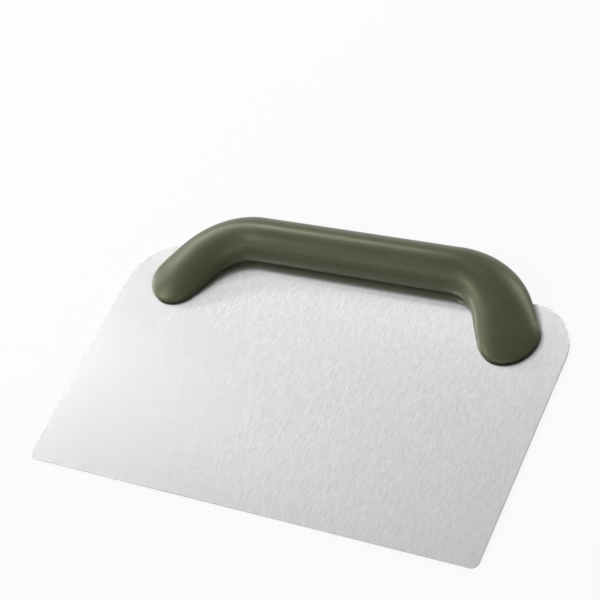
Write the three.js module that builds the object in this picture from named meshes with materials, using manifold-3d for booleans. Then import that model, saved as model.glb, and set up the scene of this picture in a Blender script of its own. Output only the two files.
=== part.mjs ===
// Dough scraper: a brushed steel blade with a bow-shaped moulded handle across its upper edge.
// The blade lies on its back: X runs along the scraping edge, Y up the blade, Z out of its front.
// Lengths are in millimetres.
import * as THREE from 'three';
import { mergeVertices } from 'three/addons/utils/BufferGeometryUtils.js';
import Module from 'manifold-3d';

const wasm = await Module();
wasm.setup();

// Blade: a plain sheet with wide upper corners and small lower ones
const bladeWidth = 240;
const bladeHeight = 129.7;
const bladeThickness = 1.2;
const bladeTopCorner = 24.6;
const bladeBottomCorner = 3.5;

// Centre line of the handle, from the middle of the grip to the tip of a foot
const gripPastEdge = 8.5;
const gripHalfLength = 53.8;
const bendRadius = 35;
const bendAngle = THREE.MathUtils.degToRad(58);
const legLength = 13.6;
const toeLength = 14.1;

// In plan a toe ends as half an ellipse. Its top stays up longer than that and then drops to the blade:
// 2 would be an ellipse there too, more is fuller.
const toeFullness = 2.6;

// Section of the handle: half widths, and heights above the front of the blade.
// The widest level is where the rounded front turns under towards the back.
// The crown draws the section slightly towards its highest, lowest and outermost points.
const gripHalfWidth = 11.25;
const footHalfWidth = 14.45;
const gripHeight = 15.1;
const tipHeight = 3.2;
const gripWidestLevel = 4.2;
const footWidestLevel = 1.25;
const sectionCrown = 0.02;

// How far before the bend the handle begins to sink towards the blade, and to widen
const sinkLead = 12.5;
const widenLead = 7;

// Hollow of the grip, with cross ribs, closed by a cover flush with the back
const gripWall = 3;
const coverThickness = 2;
const coverMargin = 2;
const coverLedge = 1.5;
const ribThickness = 1.6;
const ribPitch = 16;
const ribToCover = 1;
const coverScrewSpacing = 64;
const coverBossRadius = 3.5;
const coverScrewLength = 9;

// Countersunk screws: two hold each foot to the blade, two hold the cover
const screwShankRadius = 1.5;
const screwHeadRadius = 2.7;
const screwHeadLand = 0.15;
const screwSink = 0.1;
const screwPointChamfer = 0.5;
const screwSocketRadius = 1.1;
const screwSocketDepth = 1.1;
const footScrewPitch = 14;
const footScrewToLegEnd = 1;
const footSkin = 1.8;

// Threaded sleeves in the feet
const sleeveRadius = 2.4;
const sleeveRecess = 0.2;
const sleeveGrooveWidth = 0.8;
const sleeveGrooveDepth = 0.35;

// Clearance round every piece that fits in another, and the overshoot of a cutting body
const fitGap = 0.25;
const cutOver = 1;

// Facets
const sectionFacets = 40;
const leadSteps = 3;
const bendSteps = 16;
const legSteps = 5;
const toeSteps = 11;
const cornerFacets = 12;
const roundFacets = 24;

// Sizes that follow
const gripAxis = bladeHeight + gripPastEdge;
const bendLength = bendRadius * bendAngle;
const legEnd = gripHalfLength + bendLength + legLength;
const tipDistance = legEnd + toeLength;
const screwConeHeight = screwHeadRadius - screwShankRadius;
const screwShankStart = screwHeadLand + screwConeHeight;

// Solids

function solidOf(geometry) {
  const bare = geometry.clone();
  bare.deleteAttribute('normal');
  bare.deleteAttribute('uv');
  const merged = mergeVertices(bare, 1e-5);
  const corners = merged.index.array;
  const triangles = [];
  for (let i = 0; i < corners.length; i += 3) {
    const [a, b, c] = corners.slice(i, i + 3);
    if (a !== b && b !== c && c !== a) triangles.push(a, b, c);
  }
  const mesh = new wasm.Mesh({
    numProp: 3,
    vertProperties: new Float32Array(merged.attributes.position.array),
    triVerts: new Uint32Array(triangles),
  });
  return new wasm.Manifold(mesh);
}

function geometryOf(solid) {
  const { vertProperties, triVerts } = solid.getMesh();
  const geometry = new THREE.BufferGeometry();
  geometry.setAttribute('position', new THREE.BufferAttribute(vertProperties, 3));
  geometry.setIndex(new THREE.BufferAttribute(triVerts, 1));
  geometry.computeVertexNormals();
  return geometry;
}

// A flat outline raised from one level to another
function prism(shape, bottom, top) {
  const geometry = new THREE.ExtrudeGeometry(shape, {
    depth: top - bottom,
    bevelEnabled: false,
    curveSegments: cornerFacets,
  });
  return solidOf(geometry.translate(0, 0, bottom));
}

// A profile of [radius, height] points, from the lower end of the axis to the upper, turned about Z
function turned(profile) {
  const points = profile.map(([radius, height]) => new THREE.Vector2(radius, height));
  return solidOf(new THREE.LatheGeometry(points, roundFacets).rotateX(Math.PI / 2));
}

function cylinder(radius, bottom, top) {
  return turned([[0, bottom], [radius, bottom], [radius, top], [0, top]]);
}

function box(sizeX, sizeY, bottom, top) {
  const geometry = new THREE.BoxGeometry(sizeX, sizeY, top - bottom);
  return solidOf(geometry.translate(0, 0, (bottom + top) / 2));
}

// Rings of points joined into a closed skin, ending in a point at each end
function loft(rings, firstTip, lastTip) {
  const count = rings[0].length;
  const points = [...rings.flat(), firstTip, lastTip];
  const firstTipIndex = points.length - 2;
  const lastTipIndex = points.length - 1;
  const lastRing = (rings.length - 1) * count;
  const triangles = [];
  for (let j = 0; j < count; j += 1) {
    const next = (j + 1) % count;
    triangles.push(firstTipIndex, next, j);
    triangles.push(lastTipIndex, lastRing + j, lastRing + next);
    for (let i = 0; i < lastRing; i += count) {
      triangles.push(i + j, i + next, i + count + next);
      triangles.push(i + j, i + count + next, i + count + j);
    }
  }
  const geometry = new THREE.BufferGeometry().setFromPoints(points);
  geometry.setIndex(triangles);
  return solidOf(geometry);
}

// Handle centre line

// Point and outward direction at a distance along the right half of the handle, from the middle
function centreLine(distance) {
  if (distance <= gripHalfLength) {
    return { point: new THREE.Vector2(distance, gripAxis), turn: 0 };
  }
  const turn = Math.min((distance - gripHalfLength) / bendRadius, bendAngle);
  const past = distance - gripHalfLength - bendRadius * turn;
  const point = new THREE.Vector2(
    gripHalfLength + bendRadius * Math.sin(turn) + past * Math.cos(turn),
    gripAxis - bendRadius * (1 - Math.cos(turn)) - past * Math.sin(turn),
  );
  return { point, turn };
}

// The front of the handle sinks as a parabola: nothing in the grip, all of it at the tip
function sinkingAt(distance) {
  const start = gripHalfLength - sinkLead;
  return Math.max((distance - start) / (tipDistance - start), 0) ** 2;
}

function heightAt(distance) {
  return THREE.MathUtils.lerp(gripHeight, tipHeight, sinkingAt(distance));
}

function sectionAt(distance) {
  const widening = THREE.MathUtils.smoothstep(distance, gripHalfLength - widenLead, legEnd);
  const lowering = Math.min(sinkingAt(distance) / sinkingAt(legEnd), 1);
  const level = THREE.MathUtils.lerp(gripWidestLevel, footWidestLevel, lowering);
  return {
    halfWidth: THREE.MathUtils.lerp(gripHalfWidth, footHalfWidth, widening),
    halfHeight: heightAt(distance) - level,
    level: bladeThickness + level,
  };
}

function ringAt(distance, narrowing = 1, lowering = 1) {
  const { point, turn } = centreLine(distance);
  const { halfWidth, halfHeight, level } = sectionAt(distance);
  const wide = (narrowing * halfWidth) / (1 + sectionCrown);
  const high = (lowering * halfHeight) / (1 + sectionCrown);
  const ring = [];
  for (let j = 0; j < sectionFacets; j += 1) {
    const angle = (2 * Math.PI * j) / sectionFacets;
    const across = wide * (Math.cos(angle) + sectionCrown * Math.cos(3 * angle));
    const up = high * (Math.sin(angle) - sectionCrown * Math.sin(3 * angle));
    const x = point.x + across * Math.sin(turn);
    const y = point.y + across * Math.cos(turn);
    ring.push(new THREE.Vector3(x, y, level + up));
  }
  return ring;
}

function mirrored(point) {
  return new THREE.Vector3(-point.x, point.y, point.z);
}

// Outer skin of the whole bow, as a rounded bar that the back and the blade then cut into
function bowSkin() {
  const half = [];
  for (let i = 0; i <= leadSteps; i += 1) {
    half.push(ringAt(gripHalfLength - sinkLead * (1 - i / leadSteps)));
  }
  for (let i = 1; i <= bendSteps; i += 1) {
    half.push(ringAt(gripHalfLength + (bendLength * i) / bendSteps));
  }
  for (let i = 1; i <= legSteps; i += 1) {
    half.push(ringAt(gripHalfLength + bendLength + (legLength * i) / legSteps));
  }
  for (let i = 1; i < toeSteps; i += 1) {
    const angle = (Math.PI / 2) * (i / toeSteps);
    const reach = Math.sin(angle);
    const lowering = (1 - reach ** toeFullness) ** (1 / toeFullness);
    half.push(ringAt(legEnd + toeLength * reach, Math.cos(angle), lowering));
  }
  const tip = centreLine(tipDistance).point;
  const rightTip = new THREE.Vector3(tip.x, tip.y, bladeThickness + footWidestLevel);
  const otherHalf = half.map((ring) => ring.map(mirrored)).reverse();
  return loft([...otherHalf, ...half], mirrored(rightTip), rightTip);
}

// Places shared by the pieces

// Half width of the flat that the back of the grip has where the round section is cut off.
// The crown makes the section that much leaner than an ellipse there.
const gripSection = sectionAt(0);
const backDrop = gripSection.level / gripSection.halfHeight;
const leanness = (1 - sectionCrown) / (1 + sectionCrown);
const backHalfWidth = leanness * gripSection.halfWidth * Math.sqrt(1 - backDrop ** 2);

// The cover lies midway between the blade's edge and the far side of that flat
const edgeSide = gripPastEdge - fitGap;
const coverHalfWidth = (backHalfWidth + edgeSide) / 2 - coverMargin;
const coverMiddle = gripAxis + (backHalfWidth - edgeSide) / 2;
const coverScrewPlaces = [-1, 1].map((side) => ({
  side,
  x: (side * coverScrewSpacing) / 2,
  y: coverMiddle,
}));

// Holes in the feet, as deep as the foot allows at the end of the leg
const footHoleDepth = heightAt(legEnd) - footSkin;
const footScrewLength = bladeThickness + footHoleDepth - screwSink - fitGap;
const sleeveLength = footHoleDepth - sleeveRecess - fitGap;

const footScrewPlaces = [];
for (const side of [-1, 1]) {
  const lowerDistance = legEnd - footScrewToLegEnd;
  for (const [row, distance] of [['lower', lowerDistance], ['upper', lowerDistance - footScrewPitch]]) {
    const { point } = centreLine(distance);
    footScrewPlaces.push({ side, row, x: side * point.x, y: point.y });
  }
}

function sideName(side) {
  return side < 0 ? 'left' : 'right';
}

// Outlines

function bladeOutline(grow) {
  const right = bladeWidth / 2 + grow;
  const top = bladeHeight + grow;
  const topCorner = bladeTopCorner + grow;
  const bottomCorner = bladeBottomCorner + grow;
  const shape = new THREE.Shape();
  shape.moveTo(-right + bottomCorner, -grow);
  shape.absarc(right - bottomCorner, bottomCorner - grow, bottomCorner, -Math.PI / 2, 0);
  shape.absarc(right - topCorner, top - topCorner, topCorner, 0, Math.PI / 2);
  shape.absarc(-right + topCorner, top - topCorner, topCorner, Math.PI / 2, Math.PI);
  shape.absarc(-right + bottomCorner, bottomCorner - grow, bottomCorner, Math.PI, 1.5 * Math.PI);
  return shape;
}

// A long slot with round ends, inset from the outline of the cover
function coverOutline(inset) {
  const radius = coverHalfWidth - inset;
  const straight = gripHalfLength - coverHalfWidth;
  const shape = new THREE.Shape();
  shape.absarc(straight, coverMiddle, radius, -Math.PI / 2, Math.PI / 2);
  shape.absarc(-straight, coverMiddle, radius, Math.PI / 2, 1.5 * Math.PI);
  return shape;
}

// Pieces

// The room that a countersunk screw needs in a sheet whose back is at level zero
function countersink(depth) {
  const headRadius = screwHeadRadius + fitGap;
  const shankRadius = screwShankRadius + fitGap;
  return turned([
    [0, -cutOver],
    [headRadius, -cutOver],
    [headRadius, screwSink + screwHeadLand],
    [shankRadius, screwSink + screwShankStart],
    [shankRadius, depth],
    [0, depth],
  ]);
}

function blade() {
  let sheet = prism(bladeOutline(0), 0, bladeThickness);
  const depth = screwSink + screwShankStart + cutOver;
  for (const place of footScrewPlaces) {
    sheet = sheet.subtract(countersink(depth).translate([place.x, place.y, 0]));
  }
  return sheet;
}

function gripCore() {
  const halfWidth = gripSection.halfWidth - gripWall;
  const halfHeight = gripSection.halfHeight - gripWall;
  const ellipse = new THREE.Shape();
  ellipse.absellipse(0, 0, halfWidth, halfHeight, 0, 2 * Math.PI);
  const geometry = new THREE.ExtrudeGeometry(ellipse, {
    depth: 2 * gripHalfLength,
    bevelEnabled: false,
    curveSegments: cornerFacets,
  });
  geometry.translate(0, 0, -gripHalfLength);
  geometry.rotateX(Math.PI / 2).rotateZ(Math.PI / 2);
  return solidOf(geometry.translate(0, gripAxis, gripSection.level));
}

// The hollow leaves the ribs and the two screw bosses standing
function gripHollow() {
  const top = bladeThickness + gripHeight;
  const mouth = prism(coverOutline(coverLedge), coverThickness - cutOver, gripSection.level);
  const well = prism(coverOutline(coverLedge), gripSection.level, top);
  let hollow = mouth.add(well.intersect(gripCore()));
  const ribsEachSide = Math.floor((gripHalfLength - coverLedge) / ribPitch);
  for (let i = -ribsEachSide; i <= ribsEachSide; i += 1) {
    const rib = box(ribThickness, 2 * gripHalfWidth, coverThickness + ribToCover, top);
    hollow = hollow.subtract(rib.translate([i * ribPitch, coverMiddle, 0]));
  }
  for (const { x, y } of coverScrewPlaces) {
    hollow = hollow.subtract(cylinder(coverBossRadius, coverThickness, top).translate([x, y, 0]));
  }
  return hollow;
}

function handleShell() {
  const top = bladeThickness + gripHeight + cutOver;
  const front = box(2 * bladeWidth, 2 * bladeHeight, 0, top).translate([0, bladeHeight, 0]);
  let shell = bowSkin().intersect(front);
  shell = shell.subtract(prism(bladeOutline(fitGap), -cutOver, bladeThickness));
  shell = shell.subtract(prism(coverOutline(-fitGap), -cutOver, coverThickness));
  shell = shell.subtract(gripHollow());
  const coverHoleEnd = screwSink + coverScrewLength + fitGap;
  for (const { x, y } of coverScrewPlaces) {
    const hole = cylinder(screwShankRadius + fitGap, coverThickness - cutOver, coverHoleEnd);
    shell = shell.subtract(hole.translate([x, y, 0]));
  }
  const footHoleEnd = bladeThickness + footHoleDepth;
  for (const { x, y } of footScrewPlaces) {
    const hole = cylinder(sleeveRadius + fitGap, bladeThickness - cutOver, footHoleEnd);
    shell = shell.subtract(hole.translate([x, y, 0]));
  }
  return shell;
}

function backCover() {
  let cover = prism(coverOutline(0), 0, coverThickness);
  for (const { x, y } of coverScrewPlaces) {
    cover = cover.subtract(countersink(coverThickness + cutOver).translate([x, y, 0]));
  }
  return cover;
}

// Flat head flush with the back, with a hexagon socket
function screw(length) {
  const body = turned([
    [0, 0],
    [screwHeadRadius, 0],
    [screwHeadRadius, screwHeadLand],
    [screwShankRadius, screwShankStart],
    [screwShankRadius, length - screwPointChamfer],
    [screwShankRadius - screwPointChamfer, length],
    [0, length],
  ]);
  const socket = new THREE.CylinderGeometry(
    screwSocketRadius,
    screwSocketRadius,
    screwSocketDepth + cutOver,
    6,
  );
  socket.rotateX(Math.PI / 2).translate(0, 0, (screwSocketDepth - cutOver) / 2);
  return body.subtract(solidOf(socket));
}

// Brass sleeve with a gripping groove round its middle
function sleeve() {
  const bore = screwShankRadius + fitGap;
  const waist = sleeveRadius - sleeveGrooveDepth;
  const grooveStart = (sleeveLength - sleeveGrooveWidth) / 2;
  const grooveEnd = grooveStart + sleeveGrooveWidth;
  const body = turned([
    [0, 0],
    [sleeveRadius, 0],
    [sleeveRadius, grooveStart],
    [waist, grooveStart],
    [waist, grooveEnd],
    [sleeveRadius, grooveEnd],
    [sleeveRadius, sleeveLength],
    [0, sleeveLength],
  ]);
  return body.subtract(cylinder(bore, -cutOver, sleeveLength + cutOver));
}

// Finishes

function brushedSteel() {
  return new THREE.MeshStandardMaterial({ color: 0xc9cacb, roughness: 0.42, metalness: 1 });
}

function olivePlastic() {
  return new THREE.MeshStandardMaterial({ color: 0x545842, roughness: 0.55, metalness: 0 });
}

function screwSteel() {
  return new THREE.MeshStandardMaterial({ color: 0xb4b5b7, roughness: 0.3, metalness: 1 });
}

function sleeveBrass() {
  return new THREE.MeshStandardMaterial({ color: 0xb59a58, roughness: 0.35, metalness: 1 });
}

// Assembly, centred over its own footprint

const scraper = new THREE.Group();

function addPiece(name, solid, material, x = 0, y = 0, z = 0) {
  const piece = new THREE.Mesh(geometryOf(solid), material);
  piece.name = name;
  piece.position.set(x, y, z);
  scraper.add(piece);
}

addPiece('blade', blade(), brushedSteel());
addPiece('handle_shell', handleShell(), olivePlastic());
addPiece('handle_back_cover', backCover(), olivePlastic());
for (const { side, row, x, y } of footScrewPlaces) {
  const place = `${sideName(side)}_${row}`;
  const sleeveBottom = bladeThickness + sleeveRecess;
  addPiece(`foot_screw_${place}`, screw(footScrewLength), screwSteel(), x, y, screwSink);
  addPiece(`threaded_sleeve_${place}`, sleeve(), sleeveBrass(), x, y, sleeveBottom);
}
for (const { side, x, y } of coverScrewPlaces) {
  addPiece(`cover_screw_${sideName(side)}`, screw(coverScrewLength), screwSteel(), x, y, screwSink);
}

const footprint = new THREE.Box3().setFromObject(scraper);
scraper.position.y = -(footprint.min.y + footprint.max.y) / 2;

export default scraper;
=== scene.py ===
import math

import bmesh
import bpy
from mathutils import Matrix, Vector


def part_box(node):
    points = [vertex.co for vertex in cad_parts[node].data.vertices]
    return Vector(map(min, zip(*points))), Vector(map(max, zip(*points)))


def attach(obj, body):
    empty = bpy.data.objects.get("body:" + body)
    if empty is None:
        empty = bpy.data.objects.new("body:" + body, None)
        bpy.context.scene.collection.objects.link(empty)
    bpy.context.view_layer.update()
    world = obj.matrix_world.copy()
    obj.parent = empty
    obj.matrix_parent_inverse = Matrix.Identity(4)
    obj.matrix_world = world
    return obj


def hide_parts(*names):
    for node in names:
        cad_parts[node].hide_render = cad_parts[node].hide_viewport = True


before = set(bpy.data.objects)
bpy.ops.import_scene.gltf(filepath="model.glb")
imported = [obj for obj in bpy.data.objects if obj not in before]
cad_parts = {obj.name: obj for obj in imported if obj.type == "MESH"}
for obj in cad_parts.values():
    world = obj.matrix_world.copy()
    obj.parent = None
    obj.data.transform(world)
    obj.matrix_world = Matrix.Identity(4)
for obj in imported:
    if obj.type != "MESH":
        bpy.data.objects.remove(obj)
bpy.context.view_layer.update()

# Blade
BLADE_WIDTH = 0.240
BLADE_HEIGHT = 0.1297
BLADE_THICKNESS = 0.0012
BLADE_TOP_CORNER = 0.0246
BLADE_BOTTOM_CORNER = 0.0035
BLADE_EDGE_ROUND = 0.00012

# Centre line of the handle, from the middle of the grip to the tip of a foot
GRIP_PAST_EDGE = 0.0085
GRIP_HALF_LENGTH = 0.0538
BEND_RADIUS = 0.035
BEND_ANGLE = math.radians(58)
LEG_LENGTH = 0.0136
TOE_LENGTH = 0.0141
TOE_FULLNESS = 2.6

# Section of the handle: half widths, and heights above the front of the blade
GRIP_HALF_WIDTH = 0.01125
FOOT_HALF_WIDTH = 0.01445
GRIP_HEIGHT = 0.0151
TIP_HEIGHT = 0.0032
GRIP_WIDEST_LEVEL = 0.0042
FOOT_WIDEST_LEVEL = 0.00125

# How much the section's slants are drawn in from an oval, and the round at its flat back
SECTION_CROWN = 0.02
BACK_ROUND = 0.0005

# How far before the bend the front starts to sink, and the sides to widen
SINK_LEAD = 0.0125
WIDEN_LEAD = 0.007

# The fine skin swells past the coarser CAD solid, so it is drawn in to stay inside the CAD's box
SKIN_INSET = 0.00002

# Cover
COVER_THICKNESS = 0.002
COVER_MARGIN = 0.002
COVER_EDGE_ROUND = 0.0003

# Screws, and the plastic left over the ends of the foot screws
COVER_SCREW_SPACING = 0.064
COVER_SCREW_LENGTH = 0.009
FOOT_SKIN = 0.0018
FOOT_SCREW_PITCH = 0.014
FOOT_SCREW_TO_LEG_END = 0.001
SCREW_SHANK_RADIUS = 0.0015
SCREW_HEAD_RADIUS = 0.0027
SCREW_HEAD_LAND = 0.00015
SCREW_SINK = 0.0001
SCREW_POINT_CHAMFER = 0.0005
SCREW_RIM_ROUND = 0.00008
SCREW_SOCKET_RADIUS = 0.0011
SCREW_SOCKET_DEPTH = 0.0011
SCREW_SOCKET_SIDES = 6
SCREW_SOCKET_TURN = math.radians(10)

# Room between pieces, and how far a cutter reaches past the body that it cuts
FIT_GAP = 0.00025
CUT_OVER = 0.001

# Fineness and shading of the meshes
SECTION_FACETS = 96
GRIP_STEPS = 20
BEND_STEPS = 48
LEG_STEPS = 14
TOE_STEPS = 28
CORNER_FACETS = 44
ROUND_FACETS = 64
EDGE_FACETS = 3
SMOOTH_ANGLE = math.radians(35)
SCREW_SMOOTH_ANGLE = math.radians(25)
QUARTER_TURN = math.pi / 2

# A face counts as level where its normal's Z is above the first of these, and as upright below the second
LEVEL_NORMAL = 0.99999
UPRIGHT_NORMAL = 0.5

# The range that most values of a noise lie in
NOISE_LOW = 0.3
NOISE_HIGH = 0.7

# Sizes and places that follow
SCRAPING_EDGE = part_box("blade")[0].y
GRIP_AXIS = BLADE_HEIGHT + GRIP_PAST_EDGE
BEND_LENGTH = BEND_RADIUS * BEND_ANGLE
LEG_END = GRIP_HALF_LENGTH + BEND_LENGTH + LEG_LENGTH
TIP_DISTANCE = LEG_END + TOE_LENGTH
SCREW_SHANK_START = SCREW_HEAD_LAND + SCREW_HEAD_RADIUS - SCREW_SHANK_RADIUS

# Table and sky
FLOOR_GAP = 0.0001
FLOOR_HALF_SIZE = 4.0
FLOOR_WHITE = 0.9
SKY_STRENGTH = 0.18
SURROUND_STRENGTH = 0.5

# Lit panels: how far off they stand, and their widths and heights
PANEL_DISTANCE = 1.2
SOFT_BOX = (0.5, 0.5)
SHORT_STRIP = (0.32, 0.07)
LONG_STRIP = (0.62, 0.09)

# Camera: turned round from the front towards +X, raised above the table and rolled about its own axis
CAMERA_AZIMUTH = math.radians(50.8)
CAMERA_ELEVATION = math.radians(47.46)
CAMERA_ROLL = math.radians(-32.12)
CAMERA_DISTANCE = 0.88017
CAMERA_AIM = Vector((-0.01982, 0.11082 + SCRAPING_EDGE, BLADE_THICKNESS))
CAMERA_LENS_MM = 111.54
CAMERA_SENSOR_MM = 36.0
CAMERA_NEAR = 0.05
CAMERA_FAR = 50.0


# Handle shape


def smooth_step(value, low, high):
    """A share from 0 to 1 that starts and ends gently between two values."""
    share = min(max((value - low) / (high - low), 0.0), 1.0)
    return share * share * (3.0 - 2.0 * share)


def between(low, high, share):
    return low + (high - low) * share


def centre_line(distance):
    """Point on the right half of the handle's centre line, and how far it has turned there."""
    run = distance - GRIP_HALF_LENGTH
    turn = min(max(run, 0.0) / BEND_RADIUS, BEND_ANGLE)
    past = run - BEND_RADIUS * turn
    x = GRIP_HALF_LENGTH + BEND_RADIUS * math.sin(turn) + past * math.cos(turn)
    y = GRIP_AXIS - BEND_RADIUS * (1.0 - math.cos(turn)) - past * math.sin(turn)
    return x, y + SCRAPING_EDGE, turn


def sinking_at(distance):
    """The front of the handle sinks as a parabola: nothing in the grip, all of it at the tip."""
    start = GRIP_HALF_LENGTH - SINK_LEAD
    return max((distance - start) / (TIP_DISTANCE - start), 0.0) ** 2


def height_at(distance):
    return between(GRIP_HEIGHT, TIP_HEIGHT, sinking_at(distance))


def section_at(distance):
    """Half width, half height and middle level of the handle's section."""
    widening = smooth_step(distance, GRIP_HALF_LENGTH - WIDEN_LEAD, LEG_END)
    lowering = min(sinking_at(distance) / sinking_at(LEG_END), 1.0)
    level = between(GRIP_WIDEST_LEVEL, FOOT_WIDEST_LEVEL, lowering)
    half_width = between(GRIP_HALF_WIDTH, FOOT_HALF_WIDTH, widening) - SKIN_INSET
    return half_width, height_at(distance) - level, BLADE_THICKNESS + level


def settled(level):
    """The section ends in a flat back at level zero, with a small round where it meets the sides."""
    if level <= -BACK_ROUND:
        return 0.0
    if level >= BACK_ROUND:
        return level
    return (level + BACK_ROUND) ** 2 / (4.0 * BACK_ROUND)


def ring_at(distance, narrowing=1.0, lowering=1.0):
    """The section as a ring of points: an oval with slightly lean slants, cut off by the flat back."""
    x, y, turn = centre_line(distance)
    half_width, half_height, level = section_at(distance)
    wide = narrowing * half_width / (1.0 + SECTION_CROWN)
    high = lowering * half_height / (1.0 + SECTION_CROWN)
    ring = []
    for facet in range(SECTION_FACETS):
        angle = math.tau * facet / SECTION_FACETS
        across = wide * (math.cos(angle) + SECTION_CROWN * math.cos(3.0 * angle))
        up = high * (math.sin(angle) - SECTION_CROWN * math.sin(3.0 * angle))
        ring.append((x + across * math.sin(turn), y + across * math.cos(turn), settled(level + up)))
    return ring


def handle_rings():
    """Rings of the right half, from just past the middle of the grip to just before the tip of the foot."""
    rings = []
    for step in range(1, GRIP_STEPS + 1):
        rings.append(ring_at(GRIP_HALF_LENGTH * step / GRIP_STEPS))
    for step in range(1, BEND_STEPS + 1):
        rings.append(ring_at(GRIP_HALF_LENGTH + BEND_LENGTH * step / BEND_STEPS))
    for step in range(1, LEG_STEPS + 1):
        rings.append(ring_at(GRIP_HALF_LENGTH + BEND_LENGTH + LEG_LENGTH * step / LEG_STEPS))
    for step in range(1, TOE_STEPS):
        angle = QUARTER_TURN * step / TOE_STEPS
        reach = math.sin(angle)
        lowering = (1.0 - reach**TOE_FULLNESS) ** (1.0 / TOE_FULLNESS)
        rings.append(ring_at(LEG_END + TOE_LENGTH * reach, math.cos(angle), lowering))
    return rings


# Mesh making


def object_of(name, bm):
    """Turns a finished bmesh into an object of the scene."""
    bmesh.ops.recalc_face_normals(bm, faces=bm.faces[:])
    mesh = bpy.data.meshes.new(name)
    bm.to_mesh(mesh)
    bm.free()
    made = bpy.data.objects.new(name, mesh)
    bpy.context.scene.collection.objects.link(made)
    return made


def join_rings(bm, rings):
    """Quads between each ring of vertices and the next."""
    for ring, following in zip(rings, rings[1:]):
        for index, vertex in enumerate(ring):
            beside = (index + 1) % len(ring)
            bm.faces.new((vertex, ring[beside], following[beside], following[index]))


def fan(bm, ring, tip):
    """Triangles from a ring of vertices to one more."""
    for index, vertex in enumerate(ring):
        bm.faces.new((vertex, ring[(index + 1) % len(ring)], tip))


def bow(name):
    """The whole handle as one closed skin, from the tip of one foot to the tip of the other."""
    right = handle_rings()
    left = [[(-x, y, z) for x, y, z in ring] for ring in reversed(right)]
    tip_x, tip_y, _ = centre_line(TIP_DISTANCE)
    tip_z = BLADE_THICKNESS + FOOT_WIDEST_LEVEL
    bm = bmesh.new()
    rings = [[bm.verts.new(point) for point in ring] for ring in left + [ring_at(0.0)] + right]
    join_rings(bm, rings)
    fan(bm, rings[0], bm.verts.new((-tip_x, tip_y, tip_z)))
    fan(bm, rings[-1], bm.verts.new((tip_x, tip_y, tip_z)))
    return object_of(name, bm)


def raised(name, outline, steps):
    """A flat body: the outline at each step's inset, raised to that step's level, closed at both ends."""
    bm = bmesh.new()
    rings = []
    for inset, level in steps:
        rings.append([bm.verts.new((x, y, level)) for x, y in outline(inset)])
    join_rings(bm, rings)
    bm.faces.new(rings[0])
    bm.faces.new(rings[-1])
    return object_of(name, bm)


def rounded_steps(thickness, rounding):
    """Insets and levels of a plate that lies on level zero, with both of its edges rounded."""
    lower = []
    for facet in range(EDGE_FACETS + 1):
        angle = QUARTER_TURN * facet / EDGE_FACETS
        lower.append((rounding * (1.0 - math.sin(angle)), rounding * (1.0 - math.cos(angle))))
    upper = [(inset, thickness - level) for inset, level in reversed(lower)]
    return lower + upper


def turned(name, profile, facets):
    """A profile of (radius, level) points turned about Z. It starts and ends on the axis."""
    bm = bmesh.new()
    rings = []
    for radius, level in profile[1:-1]:
        ring = []
        for facet in range(facets):
            angle = math.tau * facet / facets
            ring.append(bm.verts.new((radius * math.cos(angle), radius * math.sin(angle), level)))
        rings.append(ring)
    join_rings(bm, rings)
    fan(bm, rings[0], bm.verts.new((0.0, 0.0, profile[0][1])))
    fan(bm, rings[-1], bm.verts.new((0.0, 0.0, profile[-1][1])))
    return object_of(name, bm)


def move(body, x, y, z):
    body.data.transform(Matrix.Translation((x, y, z)))


def cut(body, cutter):
    """Takes the cutter's room out of the body."""
    boolean = body.modifiers.new("cut", "BOOLEAN")
    boolean.operation = "DIFFERENCE"
    boolean.solver = "EXACT"
    boolean.object = cutter
    bpy.context.view_layer.update()
    depsgraph = bpy.context.evaluated_depsgraph_get()
    carved = bpy.data.meshes.new_from_object(body.evaluated_get(depsgraph))
    body.modifiers.clear()
    body.data = carved
    bpy.data.objects.remove(cutter)


def finish_piece(body, node, material, smooth_angle=SMOOTH_ANGLE):
    """Shades the body smoothly with level faces kept flat, and puts it in the place of its CAD node."""
    mesh = body.data
    mesh.shade_smooth()
    mesh.set_sharp_from_angle(angle=smooth_angle)
    for face in mesh.polygons:
        if abs(face.normal.z) > LEVEL_NORMAL:
            face.use_smooth = False
    mesh.materials.clear()
    mesh.materials.append(material)
    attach(body, "root")
    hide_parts(node)


# Outlines


def corner(x, y, radius, start):
    """A quarter of a circle about a point, from the start angle on."""
    points = []
    for facet in range(CORNER_FACETS + 1):
        angle = start + QUARTER_TURN * facet / CORNER_FACETS
        points.append((x + radius * math.cos(angle), y + radius * math.sin(angle)))
    return points


def blade_outline(inset):
    """A rectangle with wide round upper corners and small round lower ones."""
    right = BLADE_WIDTH / 2 - inset
    bottom = inset + SCRAPING_EDGE
    top = BLADE_HEIGHT - inset + SCRAPING_EDGE
    wide = BLADE_TOP_CORNER - inset
    small = BLADE_BOTTOM_CORNER - inset
    points = corner(right - small, bottom + small, small, -QUARTER_TURN)
    points += corner(right - wide, top - wide, wide, 0.0)
    points += corner(-right + wide, top - wide, wide, QUARTER_TURN)
    points += corner(-right + small, bottom + small, small, math.pi)
    return points


def cover_outline(inset):
    """A long slot with round ends, in the flat of the grip's back beyond the blade."""
    radius = COVER_HALF_WIDTH - inset
    straight = GRIP_HALF_LENGTH - COVER_HALF_WIDTH
    points = corner(straight, COVER_MIDDLE, radius, -QUARTER_TURN)
    points += corner(straight, COVER_MIDDLE, radius, 0.0)[1:]
    points += corner(-straight, COVER_MIDDLE, radius, QUARTER_TURN)
    points += corner(-straight, COVER_MIDDLE, radius, math.pi)[1:]
    return points


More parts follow.
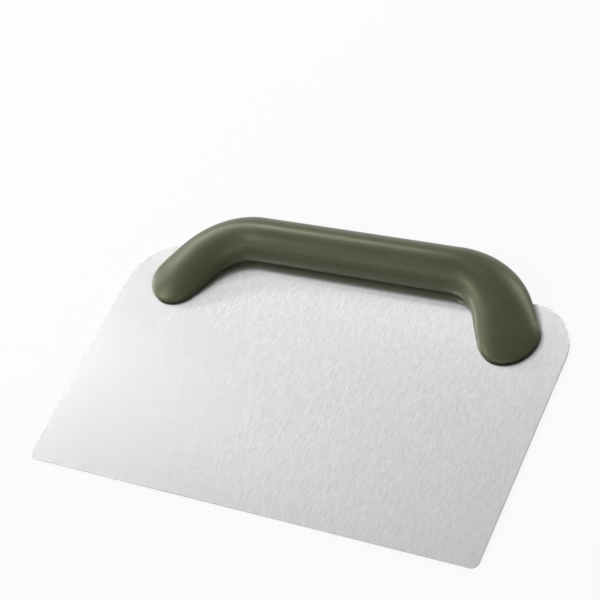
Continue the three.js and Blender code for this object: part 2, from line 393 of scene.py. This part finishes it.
# Places of the cover and the screws
_, grip_half_height, grip_level = section_at(0.0)
LEANNESS = (1.0 - SECTION_CROWN) / (1.0 + SECTION_CROWN)
BACK_HALF_WIDTH = LEANNESS * GRIP_HALF_WIDTH * math.sqrt(1.0 - (grip_level / grip_half_height) ** 2)
EDGE_SIDE = GRIP_PAST_EDGE - FIT_GAP
COVER_HALF_WIDTH = (BACK_HALF_WIDTH + EDGE_SIDE) / 2 - COVER_MARGIN
COVER_MIDDLE = GRIP_AXIS + SCRAPING_EDGE + (BACK_HALF_WIDTH - EDGE_SIDE) / 2

cover_screws = {
    "cover_screw_left": (-COVER_SCREW_SPACING / 2, COVER_MIDDLE),
    "cover_screw_right": (COVER_SCREW_SPACING / 2, COVER_MIDDLE),
}
FOOT_SCREW_LENGTH = BLADE_THICKNESS + height_at(LEG_END) - FOOT_SKIN - SCREW_SINK - FIT_GAP
foot_screws = {}
for row, back_from_end in (("lower", 0.0), ("upper", FOOT_SCREW_PITCH)):
    x, y, _ = centre_line(LEG_END - FOOT_SCREW_TO_LEG_END - back_from_end)
    foot_screws[f"foot_screw_left_{row}"] = (-x, y)
    foot_screws[f"foot_screw_right_{row}"] = (x, y)


# Pieces


def countersink(x, y, depth):
    """A cutter for a countersunk screw hole from the back, to the given depth."""
    head = SCREW_HEAD_RADIUS + FIT_GAP
    shank = SCREW_SHANK_RADIUS + FIT_GAP
    profile = [
        (0.0, -CUT_OVER),
        (head, -CUT_OVER),
        (head, SCREW_SINK + SCREW_HEAD_LAND),
        (shank, SCREW_SINK + SCREW_SHANK_START),
        (shank, depth),
        (0.0, depth),
    ]
    cutter = turned("countersink", profile, ROUND_FACETS)
    move(cutter, x, y, 0.0)
    return cutter


def brush_uv(mesh):
    """Lays U across the brushing and V along it, so that the steel's gloss spreads across the lines."""
    layer = mesh.uv_layers.new(name="brush")
    for face in mesh.polygons:
        upright = abs(face.normal.z) < UPRIGHT_NORMAL
        for loop in face.loop_indices:
            place = mesh.vertices[mesh.loops[loop].vertex_index].co
            if upright:
                layer.data[loop].uv = (place.x - place.y, place.z)
            else:
                layer.data[loop].uv = (place.x, place.y)


def make_blade(material):
    """The steel sheet, with a countersunk hole for each foot screw."""
    blade = raised("blade_sheet", blade_outline, rounded_steps(BLADE_THICKNESS, BLADE_EDGE_ROUND))
    for x, y in foot_screws.values():
        cut(blade, countersink(x, y, BLADE_THICKNESS + CUT_OVER))
    brush_uv(blade.data)
    finish_piece(blade, "blade", material)


def make_handle(material):
    """The bow, with room for the blade, a rebate for the cover and holes for the cover's screws."""
    handle = bow("handle_bow")
    room = [(-FIT_GAP, -CUT_OVER), (-FIT_GAP, BLADE_THICKNESS)]
    cut(handle, raised("blade_room", blade_outline, room))
    rebate = [(-FIT_GAP, -CUT_OVER), (-FIT_GAP, COVER_THICKNESS)]
    cut(handle, raised("cover_rebate", cover_outline, rebate))
    for x, y in cover_screws.values():
        cut(handle, countersink(x, y, SCREW_SINK + COVER_SCREW_LENGTH + FIT_GAP))
    finish_piece(handle, "handle_shell", material)


def make_cover(material):
    """The plate that closes the grip's back, with a countersunk hole for each of its screws."""
    cover = raised("handle_cover", cover_outline, rounded_steps(COVER_THICKNESS, COVER_EDGE_ROUND))
    for x, y in cover_screws.values():
        cut(cover, countersink(x, y, COVER_THICKNESS + CUT_OVER))
    finish_piece(cover, "handle_back_cover", material)


def make_screw(node, x, y, length, material):
    """A countersunk screw with a rounded rim and a hexagon socket."""
    profile = [
        (0.0, 0.0),
        (SCREW_HEAD_RADIUS - SCREW_RIM_ROUND, 0.0),
        (SCREW_HEAD_RADIUS, SCREW_RIM_ROUND),
        (SCREW_HEAD_RADIUS, SCREW_HEAD_LAND),
        (SCREW_SHANK_RADIUS, SCREW_SHANK_START),
        (SCREW_SHANK_RADIUS, length - SCREW_POINT_CHAMFER),
        (SCREW_SHANK_RADIUS - SCREW_POINT_CHAMFER, length),
        (0.0, length),
    ]
    screw = turned(f"{node}_fine", profile, ROUND_FACETS)
    socket_profile = [
        (0.0, -CUT_OVER),
        (SCREW_SOCKET_RADIUS, -CUT_OVER),
        (SCREW_SOCKET_RADIUS, SCREW_SOCKET_DEPTH),
        (0.0, SCREW_SOCKET_DEPTH),
    ]
    socket = turned("socket", socket_profile, SCREW_SOCKET_SIDES)
    # Turned so that no corner of the socket falls on an edge between two facets of the head
    socket.data.transform(Matrix.Rotation(SCREW_SOCKET_TURN, 4, "Z"))
    cut(screw, socket)
    move(screw, x, y, SCREW_SINK)
    finish_piece(screw, node, material, SCREW_SMOOTH_ANGLE)


# Materials


class Finish:
    """A material with one shader, and short ways to add nodes to it."""

    def __init__(self, name):
        self.material = bpy.data.materials.new(name)
        self.material.use_nodes = True
        self.nodes = self.material.node_tree.nodes
        self.links = self.material.node_tree.links
        self.shader = self.nodes["Principled BSDF"]

    def set(self, socket, value):
        """Gives a socket of the shader one value."""
        self.shader.inputs[socket].default_value = value

    def feed(self, socket, output):
        """Gives a socket of the shader what another node puts out."""
        self.links.new(output, self.shader.inputs[socket])

    def noise(self, cells, detail, roughness):
        """Noise in the object's own coordinates, with so many cells per metre along each axis."""
        place = self.nodes.new("ShaderNodeTexCoord")
        mapping = self.nodes.new("ShaderNodeMapping")
        mapping.inputs["Scale"].default_value = cells
        texture = self.nodes.new("ShaderNodeTexNoise")
        texture.inputs["Scale"].default_value = 1.0
        texture.inputs["Detail"].default_value = detail
        texture.inputs["Roughness"].default_value = roughness
        self.links.new(place.outputs["Object"], mapping.inputs["Vector"])
        self.links.new(mapping.outputs["Vector"], texture.inputs["Vector"])
        return texture.outputs["Fac"]

    def spread(self, noise, low, high):
        """Stretches the middle of a noise to the range from low to high."""
        stretch = self.nodes.new("ShaderNodeMapRange")
        stretch.inputs["From Min"].default_value = NOISE_LOW
        stretch.inputs["From Max"].default_value = NOISE_HIGH
        stretch.inputs["To Min"].default_value = low
        stretch.inputs["To Max"].default_value = high
        self.links.new(noise, stretch.inputs["Value"])
        return stretch.outputs["Result"]

    def add(self, first, second):
        """The sum of two outputs."""
        node = self.nodes.new("ShaderNodeMath")
        node.operation = "ADD"
        self.links.new(first, node.inputs[0])
        self.links.new(second, node.inputs[1])
        return node.outputs["Value"]

    def blend(self, share, dark, light):
        """A colour between two, by a share from 0 to 1."""
        mix = self.nodes.new("ShaderNodeMix")
        mix.data_type = "RGBA"
        mix.inputs["A"].default_value = (*dark, 1.0)
        mix.inputs["B"].default_value = (*light, 1.0)
        self.links.new(share, mix.inputs["Factor"])
        return mix.outputs["Result"]

    def bump(self, height, distance, strength):
        """Ripples the surface by a noise, to a height of so many metres."""
        bump = self.nodes.new("ShaderNodeBump")
        bump.inputs["Distance"].default_value = distance
        bump.inputs["Strength"].default_value = strength
        self.links.new(height, bump.inputs["Height"])
        self.feed("Normal", bump.outputs["Normal"])


def brushed_steel():
    """Stainless sheet brushed up the blade: short fine strokes, and a gloss that spreads across them."""
    steel = Finish("brushed_steel")
    strokes = steel.noise(cells=(3000.0, 330.0, 330.0), detail=2.0, roughness=0.6)
    clouds = steel.noise(cells=(14.0, 14.0, 14.0), detail=2.0, roughness=0.5)
    shade = steel.spread(strokes, low=0.0, high=1.0)
    steel.feed("Base Color", steel.blend(shade, dark=(0.49, 0.49, 0.495), light=(0.59, 0.59, 0.59)))
    stroke_part = steel.spread(strokes, low=0.0, high=0.02)
    cloud_part = steel.spread(clouds, low=0.23, high=0.25)
    steel.feed("Roughness", steel.add(stroke_part, cloud_part))
    steel.bump(strokes, distance=0.00001, strength=0.3)
    steel.set("Metallic", 1.0)
    steel.set("Anisotropic", 0.85)
    tangent = steel.nodes.new("ShaderNodeTangent")
    tangent.direction_type = "UV_MAP"
    tangent.uv_map = "brush"
    steel.feed("Tangent", tangent.outputs["Tangent"])
    return steel.material


def olive_plastic():
    """Satin moulded plastic with a fine grain and a slight cloudiness."""
    olive = Finish("olive_plastic")
    grain = olive.noise(cells=(5200.0, 5200.0, 5200.0), detail=2.0, roughness=0.6)
    clouds = olive.noise(cells=(60.0, 60.0, 60.0), detail=3.0, roughness=0.55)
    speckle = olive.noise(cells=(1300.0, 1300.0, 1300.0), detail=2.0, roughness=0.6)
    cloud_share = olive.spread(clouds, low=0.0, high=0.25)
    speckle_share = olive.spread(speckle, low=0.0, high=0.75)
    shade = olive.add(cloud_share, speckle_share)
    olive.feed("Base Color", olive.blend(shade, dark=(0.055, 0.0595, 0.034), light=(0.087, 0.091, 0.056)))
    grain_part = olive.spread(grain, low=0.0, high=0.05)
    cloud_part = olive.spread(clouds, low=0.34, high=0.38)
    olive.feed("Roughness", olive.add(grain_part, cloud_part))
    olive.bump(grain, distance=0.00003, strength=0.25)
    olive.set("Specular IOR Level", 0.42)
    olive.set("Specular Tint", (0.92, 1.0, 0.6, 1.0))
    return olive.material


def screw_steel():
    """Steel a little worn: uneven in tone and in gloss."""
    steel = Finish("screw_steel")
    wear = steel.noise(cells=(900.0, 900.0, 900.0), detail=4.0, roughness=0.6)
    shade = steel.spread(wear, low=0.0, high=1.0)
    steel.feed("Base Color", steel.blend(shade, dark=(0.42, 0.42, 0.43), light=(0.54, 0.54, 0.55)))
    steel.feed("Roughness", steel.spread(wear, low=0.24, high=0.40))
    steel.bump(wear, distance=0.00001, strength=0.3)
    steel.set("Metallic", 1.0)
    return steel.material


def sleeve_brass():
    """Drawn brass, a little tarnished."""
    brass = Finish("sleeve_brass")
    tarnish = brass.noise(cells=(1100.0, 1100.0, 400.0), detail=4.0, roughness=0.6)
    shade = brass.spread(tarnish, low=0.0, high=1.0)
    brass.feed("Base Color", brass.blend(shade, dark=(0.40, 0.27, 0.09), light=(0.58, 0.42, 0.16)))
    brass.feed("Roughness", brass.spread(tarnish, low=0.28, high=0.45))
    brass.bump(tarnish, distance=0.00001, strength=0.3)
    brass.set("Metallic", 1.0)
    return brass.material


# Making the object

steel = brushed_steel()
olive = olive_plastic()
bright = screw_steel()
brass = sleeve_brass()

make_blade(steel)
make_handle(olive)
make_cover(olive)
for node, (x, y) in foot_screws.items():
    make_screw(node, x, y, FOOT_SCREW_LENGTH, bright)
for node, (x, y) in cover_screws.items():
    make_screw(node, x, y, COVER_SCREW_LENGTH, bright)
for node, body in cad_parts.items():
    if node.startswith("threaded_sleeve"):
        body.data.materials.clear()
        body.data.materials.append(brass)


# Stage, light and camera


def background_rays(nodes, links):
    """1 for the rays that show the background: straight from the camera, or by way of gloss or glass."""
    ray = nodes.new("ShaderNodeLightPath")
    shown = ray.outputs["Is Camera Ray"]
    for kind in ("Is Glossy Ray", "Is Transmission Ray"):
        higher = nodes.new("ShaderNodeMath")
        higher.operation = "MAXIMUM"
        links.new(shown, higher.inputs[0])
        links.new(ray.outputs[kind], higher.inputs[1])
        shown = higher.outputs["Value"]
    return shown


def floor_paper():
    """Pale paper that shows as white but for a share of its own shading: the shadow."""
    paper = Finish("floor_paper")
    mottle = paper.noise(cells=(30.0, 30.0, 30.0), detail=3.0, roughness=0.5)
    shade = paper.spread(mottle, low=0.0, high=1.0)
    paper.feed("Base Color", paper.blend(shade, dark=(0.81, 0.81, 0.81), light=(0.83, 0.83, 0.83)))
    paper.set("Roughness", 0.9)
    paper.set("Specular IOR Level", 0.1)
    white = paper.nodes.new("ShaderNodeEmission")
    white.inputs["Strength"].default_value = 1.0
    share = paper.nodes.new("ShaderNodeMath")
    share.operation = "MULTIPLY"
    share.inputs[1].default_value = FLOOR_WHITE
    paper.links.new(background_rays(paper.nodes, paper.links), share.inputs[0])
    mix = paper.nodes.new("ShaderNodeMixShader")
    paper.links.new(share.outputs["Value"], mix.inputs["Fac"])
    paper.links.new(paper.shader.outputs["BSDF"], mix.inputs[1])
    paper.links.new(white.outputs["Emission"], mix.inputs[2])
    paper.links.new(mix.outputs["Shader"], paper.nodes["Material Output"].inputs["Surface"])
    return paper.material


def make_floor():
    """A flat square table top, just below the part."""
    bm = bmesh.new()
    corners = []
    for x, y in ((-1, -1), (1, -1), (1, 1), (-1, 1)):
        corners.append(bm.verts.new((x * FLOOR_HALF_SIZE, y * FLOOR_HALF_SIZE, -FLOOR_GAP)))
    bm.faces.new(corners)
    floor = object_of("floor", bm)
    floor.data.materials.append(floor_paper())


def make_world():
    """An even sky, brighter where it is seen, straight or in gloss, than in the light that it gives."""
    world = bpy.data.worlds.new("studio")
    world.use_nodes = True
    nodes = world.node_tree.nodes
    links = world.node_tree.links
    sky = nodes["Background"]
    sky.inputs["Color"].default_value = (1.0, 1.0, 1.0, 1.0)
    strength = nodes.new("ShaderNodeMapRange")
    strength.inputs["To Min"].default_value = SKY_STRENGTH
    strength.inputs["To Max"].default_value = SURROUND_STRENGTH
    links.new(background_rays(nodes, links), strength.inputs["Value"])
    links.new(strength.outputs["Result"], sky.inputs["Strength"])
    bpy.context.scene.world = world


def make_lamp(name, panel, azimuth, elevation, power):
    """A lit panel that looks at the object, so many degrees round from +X and so many above the table."""
    data = bpy.data.lights.new(name, "AREA")
    data.shape = "RECTANGLE"
    data.size, data.size_y = panel
    data.energy = power
    lamp = bpy.data.objects.new(name, data)
    bpy.context.scene.collection.objects.link(lamp)
    round_about = math.radians(azimuth)
    above = math.radians(elevation)
    back = Vector(
        (
            math.cos(round_about) * math.cos(above),
            math.sin(round_about) * math.cos(above),
            math.sin(above),
        )
    )
    lamp.location = back * PANEL_DISTANCE
    lamp.rotation_mode = "QUATERNION"
    lamp.rotation_quaternion = (-back).to_track_quat("-Z", "Y")


def make_camera():
    """The camera looks down at its aim from the front right, rolled about its own axis."""
    back = Vector(
        (
            math.sin(CAMERA_AZIMUTH) * math.cos(CAMERA_ELEVATION),
            -math.cos(CAMERA_AZIMUTH) * math.cos(CAMERA_ELEVATION),
            math.sin(CAMERA_ELEVATION),
        )
    )
    level = Vector((math.cos(CAMERA_AZIMUTH), math.sin(CAMERA_AZIMUTH), 0.0))
    upright = back.cross(level)
    right = level * math.cos(CAMERA_ROLL) + upright * math.sin(CAMERA_ROLL)
    up = upright * math.cos(CAMERA_ROLL) - level * math.sin(CAMERA_ROLL)
    data = bpy.data.cameras.new("camera")
    data.sensor_width = CAMERA_SENSOR_MM
    data.lens = CAMERA_LENS_MM
    data.clip_start = CAMERA_NEAR
    data.clip_end = CAMERA_FAR
    camera = bpy.data.objects.new("camera", data)
    bpy.context.scene.collection.objects.link(camera)
    turn = Matrix((right, up, back)).transposed()
    place = Matrix.Translation(CAMERA_AIM + back * CAMERA_DISTANCE)
    camera.matrix_world = place @ turn.to_4x4()
    bpy.context.scene.camera = camera


make_floor()
make_world()

# The panels are named for where they stand, with the scraping edge to the front
make_lamp("left_low", LONG_STRIP, azimuth=180.0, elevation=3.5, power=5.2)
make_lamp("left_high", SHORT_STRIP, azimuth=201.0, elevation=36.0, power=3.4)
make_lamp("back_left_low", SHORT_STRIP, azimuth=150.0, elevation=18.5, power=2.0)
make_lamp("back_left_middle", SHORT_STRIP, azimuth=165.0, elevation=27.5, power=1.4)
make_lamp("back_left_high", SOFT_BOX, azimuth=150.0, elevation=40.0, power=0.54)
make_lamp("back_strip", SHORT_STRIP, azimuth=132.0, elevation=34.0, power=3.3)
make_lamp("over_blade", SOFT_BOX, azimuth=135.0, elevation=57.0, power=0.38)
make_lamp("back_right", SOFT_BOX, azimuth=66.0, elevation=20.0, power=5.0)
make_lamp("front_left", SHORT_STRIP, azimuth=240.0, elevation=30.0, power=1.1)
make_lamp("front", SOFT_BOX, azimuth=270.0, elevation=40.0, power=1.7)

make_camera()
bpy.context.scene.view_settings.view_transform = "Standard"
